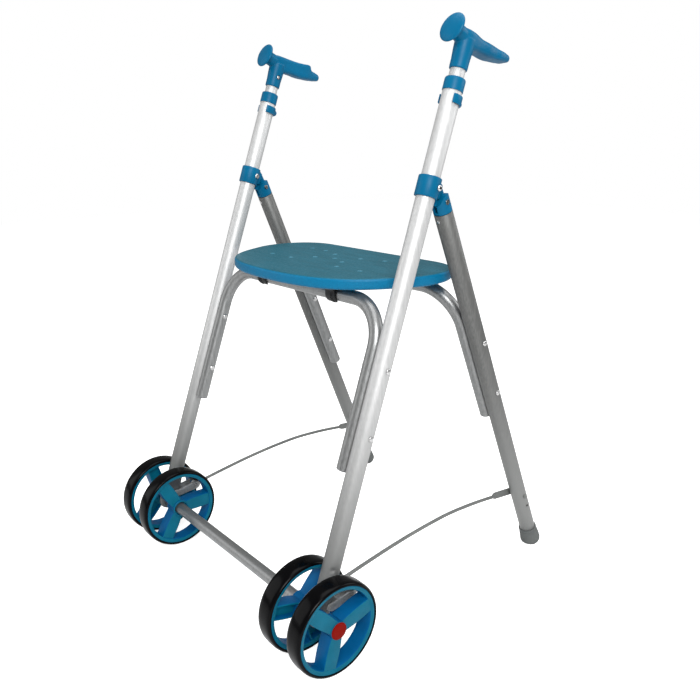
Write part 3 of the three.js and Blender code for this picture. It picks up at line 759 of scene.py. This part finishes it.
def top_bush():
    """A sleeve over the leg's mouth with a flared lip round the sliding tube."""
    low, high = BUSH
    outline = [
        (LEG_R + GAP, low), (BUSH_R - 0.5, low), (BUSH_R, low + 0.5),
        (BUSH_R, high - 2.6), (BUSH_R - 0.3, high - 1.4), (BUSH_R - 0.9, high - 0.5),
        (BUSH_R - 1.9, high), (HANDLE_R + 0.9, high), (HANDLE_R + GAP, high - 0.6),
        (HANDLE_R + GAP, LEG_TOP + GAP), (LEG_R + GAP, LEG_TOP + GAP), (LEG_R + GAP, low),
    ]
    return turned(outline, 72)


both("bush", top_bush(), FRONT_LEG, BLUE, "front_frame", ["top_bush_"])


def height_clip():
    """A springy open band with a socket for the button at its back."""
    low, high = CLIP
    body = band(LEG_R + 2.5, LEG_R - 2, low, high, 0.7)
    boss = [(0, 10), (6.1, 10), (6.1, LEG_R + 3.9), (5.6, LEG_R + 4.5), (0, LEG_R + 4.5)]
    body = combine(body, move(about_n(turned(boss, 48)), z=BUTTON))
    mouth = plate([(-30, low - 9), (-4, low - 9), (-4, high + 9), (-30, high + 9)], -13.4, 13.4)
    bore = bar(LEG_R + GAP, low - 9, high + 9, 72)
    socket = move(about_n(bar(4.7, 8, 30, 40)), z=BUTTON)
    return cut(body, mouth, bore, socket)


both("clip", height_clip(), FRONT_LEG, BLUE, "front_frame", ["height_clip_"], bevel=0.5)


def height_button():
    outline = [
        (0, HANDLE_R + 0.5), (2.9, HANDLE_R + 0.5), (3.4, HANDLE_R + 1), (3.4, LEG_R + 4),
        (4.3, LEG_R + 4), (4.3, LEG_R + 6.6), (4.0, LEG_R + 7.2), (3.2, LEG_R + 7.5),
        (2.0, LEG_R + 7.4), (0, LEG_R + 7.2),
    ]
    return move(about_n(turned(outline, 48)), z=BUTTON)


both("button", height_button(), FRONT_LEG, BLUE, "button_", ["height_button_"])


def handle_tube():
    """The sliding tube with its row of adjustment holes down the back."""
    low, high = HANDLE_TUBE
    outline = [
        (HANDLE_R - WALL, low), (HANDLE_R - 0.4, low), (HANDLE_R, low + 0.4),
        (HANDLE_R, high - 0.4), (HANDLE_R - 0.4, high), (HANDLE_R - WALL, high),
        (HANDLE_R - WALL, low),
    ]
    holes = [
        move(about_n(bar(4.2, 5, 15, 32)), z=BUTTON - HOLE_PITCH * step) for step in range(6)
    ]
    return cut(turned(outline, 72), *holes)


both("post", handle_tube(), FRONT_LEG, LIT_ALUMINIUM, "handle_", ["handle_tube_"], sharp=50)

# ---------- hand grip ----------
GRIP_BASE = 808.7
SHELF = 838.0
POMMEL_TILT = 6.5


def along_curve(points, count):
    """Evenly spaced points on a smooth curve through the given ones."""
    pts = np.array(points, float)
    gaps = np.linalg.norm(np.diff(pts, axis=0), axis=1)
    at = np.concatenate([[0], np.cumsum(gaps)])
    slopes = np.gradient(pts, at, axis=0)
    out = []
    for t in np.linspace(0, at[-1], count):
        i = min(np.searchsorted(at, t, side="right") - 1, len(at) - 2)
        h = at[i + 1] - at[i]
        u = (t - at[i]) / h
        out.append(
            (2 * u**3 - 3 * u**2 + 1) * pts[i]
            + (u**3 - 2 * u**2 + u) * h * slopes[i]
            + (3 * u**2 - 2 * u**3) * pts[i + 1]
            + (u**3 - u**2) * h * slopes[i + 1]
        )
    return np.array(out)


def palm():
    """The palm rest, by sections across it from the pommel to the rear tip.

    Each station is (n, inner x, outer x, underside, inner top, middle top, outer top). The thumb side
    stands higher and stops short in a rounded corner; the finger side runs on to the tip.
    """
    stations = [
        (-16.0, -7.0, 7.0, 848.0, 860.0, 861.0, 858.0), (-10.0, -10.5, 11.0, 841.0, 862.5, 864.5, 860.0),
        (0.0, -12.3, 13.2, 837.2, 863.5, 866.2, 860.2), (12.0, -12.8, 13.0, 837.6, 864.8, 866.8, 860.0),
        (22.0, -13.3, 11.8, 839.6, 866.4, 866.2, 859.4), (32.0, -13.8, 12.0, 841.0, 868.2, 865.8, 859.0),
        (42.0, -14.4, 13.2, 841.8, 870.2, 866.4, 859.6), (51.0, -15.0, 12.4, 842.8, 872.4, 867.4, 860.4),
        (58.0, -15.4, 12.0, 844.2, 874.4, 868.0, 860.6), (62.5, -15.4, 12.6, 845.4, 874.0, 867.6, 860.4),
        (66.0, -14.8, 13.2, 846.2, 868.6, 867.2, 860.6), (70.0, -14.0, 13.2, 847.0, 865.8, 867.0, 861.2),
        (77.0, -13.2, 12.2, 848.6, 865.0, 867.6, 862.4), (83.0, -12.0, 10.8, 850.4, 864.8, 867.4, 863.0),
        (87.5, -11.2, 10.0, 851.6, 864.4, 867.0, 863.2), (90.5, -9.6, 8.6, 853.0, 863.6, 866.0, 862.8),
        (92.6, -6.8, 6.2, 855.2, 862.2, 864.4, 861.8), (93.6, -3.4, 3.2, 857.8, 860.6, 862.2, 860.6),
    ]
    rings = []
    for n, inner, outer, low, inner_top, middle_top, outer_top in along_curve(stations, 96):
        section = [
            (inner, low + 1.0), (outer, low + 2.0), (outer, outer_top), ((inner + outer) / 2, middle_top),
            (inner, inner_top),
        ]
        soft = min(7.0, 0.4 * (outer - inner))
        ring = np.array(rounded(section, soft, 7))
        rings.append(np.column_stack([ring[:, 0], np.full(len(ring), n), ring[:, 1]]))
    return skin(rings)


def pommel():
    """The mushroom-shaped guard at the front of the grip, on a waisted neck."""
    outline = [
        (0, -12), (11.5, -12), (11.4, 0), (11.6, 6), (12.6, 9), (15.0, 10.6), (18.4, 11.8), (20.2, 12.5),
        (20.8, 13.3), (20.9, 14.1), (20.6, 15.0), (19.7, 15.9), (17.0, 17.0), (12.0, 18.1), (6.0, 18.8),
        (0, 19.0),
    ]
    points, faces = turned(rounded(outline, 1.2, 3, closed=False), 72)
    a = math.radians(90 - POMMEL_TILT)
    y = points[:, 1] * math.cos(a) - points[:, 2] * math.sin(a)
    z = points[:, 1] * math.sin(a) + points[:, 2] * math.cos(a)
    return np.column_stack([points[:, 0], y - 17.2, z + 853.4]), faces


def hand_grip():
    socket_outline = [
        (0, GRIP_BASE), (12.2, GRIP_BASE), (12.8, GRIP_BASE + 0.3), (13.1, GRIP_BASE + 1.0),
        (13.2, SHELF - 16), (14.0, SHELF - 4), (14.6, SHELF + 12), (0, SHELF + 12),
    ]
    front = move(turned([(0, 0), (11.5, 0), (11.5, 26), (0, 26)], 48), y=-3, z=834)
    lumps = joined(palm(), pommel(), turned(socket_outline, 72), front)
    moulding = melted(lumps, 0.62, 16, 0.6)
    bore = bar(HANDLE_R + GAP, GRIP_BASE - 5, SHELF + GAP, 72)
    seat = move(turn_x(bar(3.9, -18, -11.9, 32)), z=SCREW_AT)
    return cut(moulding, bore, seat)


SCREW_AT = 826.0
both("grip", hand_grip(), FRONT_LEG, BLUE, "handle_", ["hand_grip_"], sharp=60)
SCREW_HEAD = [(0, -12.2), (2.5, -12.2), (2.5, -12.9), (2.0, -13.3), (0.8, -13.4), (0, -12.9)]
# A thin black disc at the bottom of the screw's counterbore, painted shade for the dark ring round the screw
# head.
SCREW_SEAT_SHADE = [(0, -11.95), (3.8, -11.95), (3.8, -12.25), (0, -12.25)]
for label, outline, look in (("grip_screw", SCREW_HEAD, STEEL), ("grip_screw_seat_shade", SCREW_SEAT_SHADE, BLACK)):
    both(label, move(turn_x(turned(outline, 36)), z=SCREW_AT), FRONT_LEG, look, "handle_")

# ---------- rear legs ----------
REAR_LENGTH = 690.0
STRAP_PIN = -575.8
FOOT = (-701.0, -661.5)


def rear_leg():
    outline = [
        (LEG_R - WALL, -REAR_LENGTH), (LEG_R - 0.4, -REAR_LENGTH), (LEG_R, 0.4 - REAR_LENGTH),
        (LEG_R, -600.0), (LEG_R, -300.0), (LEG_R, -0.4), (LEG_R - 0.4, 0), (LEG_R - WALL, 0),
        (LEG_R - WALL, -REAR_LENGTH),
    ]
    holes = [move(turn_x(bar(3.0, -20, 20, 24)), z=s) for s in (*REAR_RIVETS, STRAP_PIN)]
    spare = move(turn_x(bar(2.6, 8, 20, 24)), z=STRAP_PIN - 24)
    return cut(turned(outline, 72), *holes, spare)


both("rear_tube", rear_leg(), REAR_LEG, SHADED_ALUMINIUM, "rear_frame", ["rear_leg_"], sharp=50)
for i, s in enumerate(REAR_RIVETS):
    rivet_piece(f"rear_rivet_{i + 1}", REAR_LEG, "rear_frame", 0, s, RIVET_LOW, RIVET_HIGH)


def trim_rivet():
    """A small head that keeps the plug's spigot in the leg, on the leg's front."""
    return about_n(turned([(0, -0.4), (2.6, -0.4), (2.6, 0.2), (2.0, 0.8), (0.9, 1.1), (0, 1.15)], 36))


SPIGOT_RIVET = trim_rivet()
SPIGOT_RIVET = (SPIGOT_RIVET[0] * np.array([1, -1, 1]) + np.array([0, -LEG_R, -9.0]), SPIGOT_RIVET[1])
both("spigot_rivet", SPIGOT_RIVET, REAR_LEG, STEEL, "rear_frame")


def rubber_foot():
    """A bell with a rolled lip and a rounded sole, rubbed flat level with the floor, with two tread rings.
    """
    low, high = FOOT
    outline = [
        (0, low), (10.2, low), (12.6, low + 0.6), (14.9, low + 1.9), (16.7, low + 4.1), (17.7, low + 6.6),
        (18.1, low + 9.4), (17.95, low + 14.0), (17.5, low + 19.0), (16.9, high - 13.0),
        (16.2, high - 8.0), (15.8, high - 5.2), (15.9, high - 4.0), (16.25, high - 3.2),
        (16.35, high - 2.2), (16.25, high - 1.1), (15.7, high - 0.2), (15.2, high),
        (LEG_R + GAP, high), (LEG_R + GAP, -REAR_LENGTH - GAP), (0, -REAR_LENGTH - GAP),
    ]
    points, faces = turned(outline, 96)
    in_row = np.array([tuple(REAR_LEG @ Vector(p)) for p in points]) * 1000
    middle = in_row[:, 1].min() + 20
    floor = move(bar(300, -60, 0.1, 64), x=235, y=middle)
    return cut((in_row, faces), floor)


ROW = Matrix.Scale(0.001, 4)
both("foot", rubber_foot(), ROW, FOOT_GREY, "rear_frame", ["rubber_foot_"], sharp=50)

# ---------- wheels ----------
WHEEL_R = 75.0
RIM_FACE = 14.0
HUB_FLOOR = 5.0
POCKET_WALL = 2.2
INNER_X = 199.5
OUTER_X = 270.0
# How far each wheel is turned about its axle, in degrees.
WHEEL_TURN = {"left": {"outer": 15, "inner": 45}, "right": {"outer": 105, "inner": 0}}


def tyre():
    """A glossy solid tyre: rounded shoulders, a low centre rib and a bead on each side."""
    right = [(70.4, 15.0), (71.4, 14.95), (72.7, 14.2), (73.7, 12.9), (74.35, 11.0), (74.7, 8.8),
             (74.9, 6.4), (74.98, 3.4), (75.0, 0.0)]
    bead = [(66.0, 10.5), (69.7, 10.5), (69.7, 14.7), (70.0, 15.0)]
    outline = bead + right + [(r, -x) for r, x in reversed(right[:-1])]
    outline += [(r, -x) for r, x in reversed(bead)]
    outline.append(outline[0])
    return turn_x(turned(outline, 160))


def rim_ring():
    right = [(69.3, 13.2), (68.6, 14.0), (66.4, 14.0), (65.6, 13.4), (64.4, 13.2), (63.0, 12.6),
             (62.5, 11.4), (62.5, 6.0)]
    seat = [(65.6, 0.0), (65.6, 10.2), (66.0, 10.6), (69.3, 10.9)]
    outline = seat + right + [(r, -x) for r, x in reversed(right)] + [(r, -x) for r, x in reversed(seat[1:])]
    outline.append(outline[0])
    return turn_x(turned(outline, 144))


def spoke_edge(start, end, steps):
    """(distance from the axle, half width) along one side of a spoke."""
    side = []
    for s in np.linspace(start, end, steps):
        t = (s - 10) / 56
        flare = 27 * max(0, t - 0.86) ** 1.5
        side.append((s, 10 + 6.8 * t * (1 - t) + t + flare))
    return side


def spoke():
    """A deep paddle of a spoke with flared feet where it meets the rim and the hub."""
    side = spoke_edge(10, 66, 22)
    outline = side + [(s, -half) for s, half in reversed(side)]
    return plate(outline, 3 - RIM_FACE, RIM_FACE - 1.5, 0.9, 3)


def pocket(hollow):
    """The hollow in the back of a spoke, which leaves a thin wall all round it."""
    side = [(s, half - POCKET_WALL) for s, half in spoke_edge(20, 61.5, 16)]
    outline = rounded(side + [(s, -half) for s, half in reversed(side)], 2.0, 3)
    low, high = (RIM_FACE - 12, RIM_FACE) if hollow > 0 else (-RIM_FACE, 11 - RIM_FACE)
    return plate(outline, low, high)


def rim(bore, hub_radius, hollow):
    """A wheel centre; hollow is the side, +1 outer or -1 inner, that faces the leg."""
    hub_outline = [
        (bore, -RIM_FACE), (hub_radius - 1, -RIM_FACE), (hub_radius, 1 - RIM_FACE),
        (hub_radius, RIM_FACE - 2), (hub_radius - 1, RIM_FACE - 1), (bore, RIM_FACE - 1), (bore, -RIM_FACE),
    ]
    hub = turn_x(turned(hub_outline, 72))
    hollowed = cut(spoke(), pocket(hollow))
    arms = [cut(spin_x(hollowed, i * 2 * math.pi / 3), turn_x(bar(bore, -20, 20, 64)))
            for i in range(3)]
    ring = rim_ring()
    trimmed = [combine(arm, turn_x(bar(65.5, -20, 20, 144)), operation="INTERSECT")
               for arm in arms]
    recess = turn_x(bar(hub_radius - 2.6, -20, HUB_FLOOR - RIM_FACE, 64))
    return cut(combine(combine(ring, *trimmed), hub), recess)


RIMS = {"inner": rim(10.8, 16.0, 1), "outer": rim(5.3, 13.5, -1)}
TYRE_SHAPE = tyre()


def hub_cap():
    outline = [
        (0, RIM_FACE - 0.7), (13.4, RIM_FACE - 0.7), (13.5, RIM_FACE), (13.3, RIM_FACE + 0.6),
        (12.6, RIM_FACE + 1.2), (11.4, RIM_FACE + 1.5), (9.0, RIM_FACE + 1.6), (0, RIM_FACE + 1.6),
    ]
    return turn_x(turned(outline, 72))


CAP = hub_cap()
for side, sign in SIDES:
    for place, x in (("inner", INNER_X), ("outer", OUTER_X)):
        hub = on_side(WALKER, sign) @ Matrix.Translation((x, 0, WHEEL_R))
        angle = math.radians(WHEEL_TURN[side][place])
        body = f"wheel_{place}_{side}"
        piece(f"tyre_{place}_{side}_skin", TYRE_SHAPE, hub, TYRE, body, [f"tyre_{place}_{side}"], sharp=35)
        piece(f"rim_{place}_{side}_skin", spin_x(RIMS[place], angle), hub, RIM_BLUE, body,
              [f"rim_{place}_{side}"], bevel=0.4, sharp=35)
        if place == "outer":
            piece(f"cap_{side}", CAP, hub, RED, body, [f"hub_cap_{side}"])

# ---------- brakes ----------
def brake_lever():
    """A pressed channel: two cheeks and a floor, open on top where the pad sits."""
    arm = [(4, 12), (14, 10), (54, 28), (57, 33), (56, 41), (50, 43), (12, 23), (5, 21)]
    channel = plate(rounded(arm, 3.2, 5), -11, 10.4, 0.5, 2)
    slot = plate([(-10, -20), (21, -20), (21, 60), (-10, 60)], -8, 7.6)
    trough = plate(rounded([(24, 24), (49, 31), (49, 60), (24, 60)], 2.5, 4), -8, 7.6)
    window = turn_x(bar(2.6, -20, 20, 32))
    body = cut(channel, slot, trough, move(window, y=47, z=34.5))
    hinge_pin = move(turn_x(bar(2.5, -12.4, 11.8, 32)), y=LEVER_PIN[0], z=LEVER_PIN[1])
    return combine(body, hinge_pin)


both("lever", brake_lever(), FRONT_LEG, BRACKET, "brake_", ["brake_lever_"], bevel=0.25)


def brake_pad():
    side = [(40, 43.6), (50, 43.6), (56.6, 41.6), (57, 51), (53, 55), (43, 54)]
    return plate(rounded(side, 1.6, 4), -12.5, 15, 0.9)


both("pad", brake_pad(), FRONT_LEG, PAD_RUBBER, "brake_", ["brake_pad_"])

CABLE_X = 218.3
CABLE_PIN = (475.5, 115.4)
CABLE_END = (420.0, 120.6)


def strap():
    """The flat moulded cable end, thicker round its pin, with a sunk panel on its outer face."""
    (y, z), (end_y, end_z) = CABLE_PIN, CABLE_END
    outline = [
        (end_y, end_z - 3), (end_y + 6, end_z - 6.2), (y - 4, z - 6.6), (y + 4, z - 5.4),
        (y + 6.6, z), (y + 4, z + 5.4), (y - 4, z + 6.6), (end_y + 6, end_z + 6.2), (end_y, end_z + 3),
    ]
    body = plate(rounded(outline, 2.2, 4), CABLE_X - 2.9, CABLE_X + 0.6, 0.6)
    shank = move(turn_x(bar(2.4, CABLE_X, 249.5, 32)), y=y, z=z)
    head = move(turn_x(turned(dome(4.2, 1.8, 0.3), 40)), x=248.55, y=y, z=z)
    return combine(body, shank, head)


both("strap", strap(), WALKER, CABLE_GREY, "cable_rear_", ["brake_strap_"], bevel=0.2)

CABLE_POINTS = [
    (60, 101), (115, 110), (165, 117.4), (215, 123.2), (262.5, 127), (300, 128.6), (345, 127.2),
    (385, 124.3), (421.5, 120.4),
]


def cable():
    route = along_curve([(CABLE_X - 0.6, y, z) for y, z in CABLE_POINTS], 120)
    tangents = unit(np.gradient(route, axis=0))
    ring = circle(1.0, 24)
    rings = []
    for i, centre in enumerate(route):
        across = np.array([1.0, 0.0, 0.0])
        upward = np.cross(across, tangents[i])
        near_end = min(i, 3) / 3 if i < 4 else 1.0
        radius = 2.95 * math.sqrt(max(0.08, 1 - (1 - near_end) ** 2))
        rings.append(centre + radius * (ring[:, :1] * across + ring[:, 1:] * upward))
    return skin(rings)


for side, sign in SIDES:
    line = piece(f"cable_{side}", cable(), on_side(WALKER, sign), CABLE_GREY, None)
    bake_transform(line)
    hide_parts(f"brake_cable_front_{side}", f"brake_cable_rear_{side}")

# ---------- seat ----------
SEAT_UNDER = 533.3
SEAT_TOP_Z = 551.0
SEAT_HALF = 213.0
SEAT_BACK = 338.5
SEAT_FRONT = 86.0


def bezier(a, b, c, d, steps):
    t = np.linspace(0, 1, steps, endpoint=False)[:, None]
    a, b, c, d = (np.array(p, float) for p in (a, b, c, d))
    return (1 - t) ** 3 * a + 3 * t * (1 - t) ** 2 * b + 3 * t * t * (1 - t) * c + t**3 * d


def seat_outline():
    """The board's plan: a bowed front, full shoulders and a straight back with round corners."""
    inset = 5.0
    half, back, front = SEAT_HALF - inset, SEAT_BACK - inset, SEAT_FRONT + inset
    right = [
        bezier((0, front), (104, front), (158, 117), (188, 187), 30),
        bezier((188, 187), (198, 210), (half, 226), (half, 249), 14),
        bezier((half, 249), (half, 299), (182, back), (132, back), 22),
        np.array([(132, back), (66, back)], float),
    ]
    right = np.concatenate(right)
    left = right[1:][::-1] * np.array([-1, 1])
    return np.concatenate([right, [[0, back]], left])


def seat_board():
    """A board with a fully rounded edge and a shallow sunk panel underneath."""
    base = seat_outline()
    tangent = unit(np.roll(base, -1, 0) - np.roll(base, 1, 0))
    normal = np.stack([tangent[:, 1], -tangent[:, 0]], -1)
    radius = 5.0
    stations = [(-34.0, SEAT_UNDER + 4.0), (-22.0, SEAT_UNDER + 4.0), (-19.5, SEAT_UNDER + 0.6),
                (-18.5, SEAT_UNDER)]
    for a in np.linspace(-math.pi / 2, 0, 9):
        stations.append((radius * math.cos(a), SEAT_UNDER + radius + radius * math.sin(a)))
    for a in np.linspace(0, math.pi / 2, 9):
        stations.append((radius * math.cos(a), SEAT_TOP_Z - radius + radius * math.sin(a)))
    stations += [(-3.0, SEAT_TOP_Z), (-9.0, SEAT_TOP_Z)]
    rings = []
    for offset, z in stations:
        flat = base + normal * offset
        rings.append(np.column_stack([flat, np.full(len(flat), z)]))
    return skin(rings)


piece("seat_top", seat_board(), WALKER, SEAT_TOP, "seat", ["seat_board"], sharp=50)


def seat_nubs():
    """Low grip studs on the sitting surface, mirrored about the middle."""
    spots = [(0, 231)]
    for x, y in ((36, 217), (34, 260), (62, 184), (118, 184), (78, 275), (118, 275)):
        spots += [(x, y), (-x, y)]
    stud = turned([(0, -0.6), (4.4, -0.6), (4.3, 0.1), (3.4, 0.45), (1.8, 0.62), (0, 0.66)], 28)
    return joined(*[move(stud, x, y, SEAT_TOP_Z) for x, y in spots])


piece("seat_studs", seat_nubs(), WALKER, STUD, "seat")


def seat_clip():
    """A snap clip that wraps the crossbar from above, with two thin ribs near its outer end."""
    y, z = 156.0, 516.2
    top = SEAT_UNDER - GAP
    low, high = 83.5, 106.5
    wrap = [(y + 14.4 * math.cos(a), z + 14.4 * math.sin(a)) for a in np.linspace(-math.pi, 0, 28)]
    outline = [(y + 14.4, z + 6), (y + 18, z + 10), (y + 18, top), (y - 18, top), (y - 18, z + 10),
               (y - 14.4, z + 6)] + wrap
    body = plate(outline, low, high, 0.9)
    ribs = []
    for at in (high - 10.0, high - 6.0):
        ring = turn_x(turned([(HOOP_R + 1, at - 0.6), (15.0, at - 0.6), (15.2, at - 0.3), (15.2, at + 0.3),
                              (15.0, at + 0.6), (HOOP_R + 1, at + 0.6), (HOOP_R + 1, at - 0.6)], 64))
        ribs.append(move(ring, y=y, z=z))
    bore = move(turn_x(bar(HOOP_R + 0.4, low - 5, high + 5, 64)), y=y, z=z)
    mouth = plate([(y - 7.5, z - 40), (y + 7.5, z - 40), (y + 7.5, z), (y - 7.5, z)], low - 5, high + 5)
    return cut(combine(body, *ribs), bore, mouth)


both("seat_snap", seat_clip(), WALKER, BLACK, "seat", ["seat_clip_"], bevel=0.25)


def seat_hook():
    y, z = 302.5, 516.0
    top = SEAT_UNDER - GAP
    behind = y + HOOP_R + 1.2
    outline = [(behind, z - 5), (behind + 3.5, z - 6), (behind + 6, z - 2), (behind + 7, top - 3),
               (behind + 15, top - 3), (behind + 15, top), (behind - 3, top), (behind, top - 4)]
    return plate(rounded(outline, 1.2, 3), 83.5, 106.5, 0.6)


both("seat_catch", seat_hook(), WALKER, BLACK, "seat", ["seat_hook_"])


# ---------- floor and light ----------
def studio():
    ground = bpy.data.meshes.new("floor")
    size = 6.0
    corners = [(-size, -size, 0), (size, -size, 0), (size, size, 0), (-size, size, 0)]
    ground.from_pydata(corners, [], [(0, 1, 2, 3)])
    look = Look("floor_look", 0.9, specular=0.1)
    look.shader.inputs["Base Color"].default_value = (0.86, 0.86, 0.86, 1)
    look.shader.inputs["Emission Color"].default_value = (1, 1, 1, 1)
    seen = look.tree.nodes.new("ShaderNodeLightPath").outputs["Is Camera Ray"]
    glow = look.tree.nodes.new("ShaderNodeMath")
    glow.operation = "MULTIPLY"
    glow.inputs[1].default_value = 0.72
    look.tree.links.new(seen, glow.inputs[0])
    look.tree.links.new(glow.outputs[0], look.shader.inputs["Emission Strength"])
    ground.materials.append(look.material)
    floor = bpy.data.objects.new("floor", ground)
    link(floor)

    world = bpy.data.worlds.new("studio")
    bpy.context.scene.world = world
    world.use_nodes = True
    tree = world.node_tree
    surround = tree.nodes["Background"]
    backdrop = tree.nodes.new("ShaderNodeBackground")
    for node, strength in ((surround, 0.3), (backdrop, 1.0)):
        node.inputs["Color"].default_value = (1, 1, 1, 1)
        node.inputs["Strength"].default_value = strength
    seen = tree.nodes.new("ShaderNodeLightPath").outputs["Is Camera Ray"]
    mix = tree.nodes.new("ShaderNodeMixShader")
    tree.links.new(seen, mix.inputs["Fac"])
    tree.links.new(surround.outputs[0], mix.inputs[1])
    tree.links.new(backdrop.outputs[0], mix.inputs[2])
    tree.links.new(mix.outputs[0], tree.nodes["World Output"].inputs["Surface"])

    lights = (
        ("key", (1.87, -1.26, 1.9), 1.2, 76),
        ("fill", (-1.6, -1.9, 1.3), 1.8, 16),
        ("top", (0.1, 0.3, 2.6), 2.2, 46),
        ("rim", (1.2, 2.2, 1.6), 1.4, 18),
    )
    for name, at, width, power in lights:
        data = bpy.data.lights.new(name, "AREA")
        data.size = width
        data.energy = power
        light = bpy.data.objects.new(name, data)
        light.location = at
        aim = Vector((0, 0, 0.45)) - Vector(at)
        light.rotation_euler = aim.to_track_quat("-Z", "Y").to_euler()
        link(light)


studio()
bpy.context.scene.view_settings.view_transform = "Standard"
